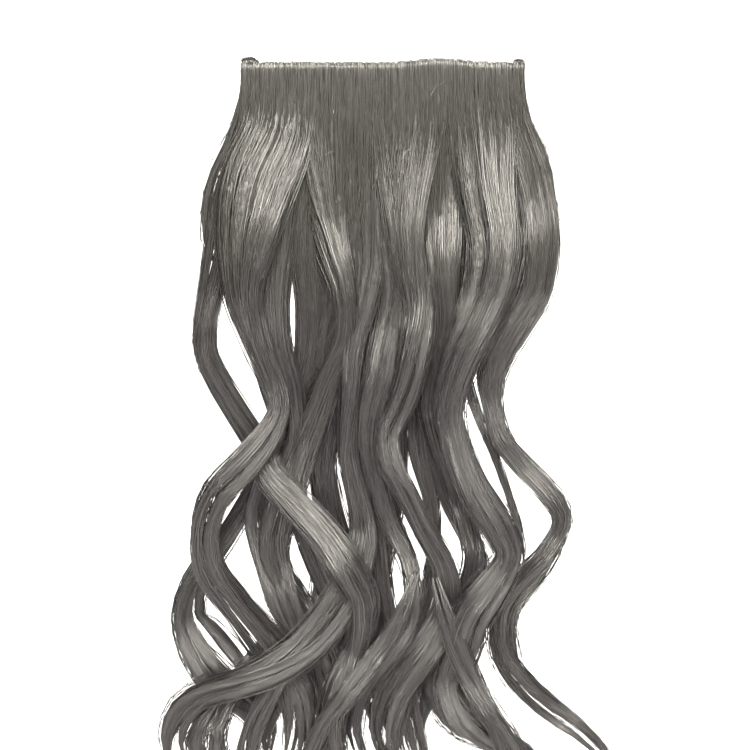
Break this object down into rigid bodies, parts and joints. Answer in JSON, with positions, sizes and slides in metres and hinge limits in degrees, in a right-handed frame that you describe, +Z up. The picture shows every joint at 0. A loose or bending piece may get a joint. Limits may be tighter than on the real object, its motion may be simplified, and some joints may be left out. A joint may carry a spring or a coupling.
{
  "type": "clip-in hair extension",
  "caption": "Wavy fall of dark synthetic hair sewn to a straight fabric band with snap comb clips behind it.",
  "frame": {"origin": "middle of the middle clip's outer face, where the hairpiece is clipped on", "axes": "+Z up along the hair towards the band, +Y out of the clips' faces towards the head, X along the band"},
  "size_m": [0.2719, 0.0499, 0.4607],
  "materials": {
    "hair": "satin synthetic hair, brown-black",
    "band": "matt woven tape, black",
    "clip": "satin enamel, black"
  },
  "bodies": {
    "root": {"weft_band": "band", "hair_fall": "hair", "clip_left": "clip", "clip_middle": "clip", "clip_right": "clip"}
  },
  "joints": []
}
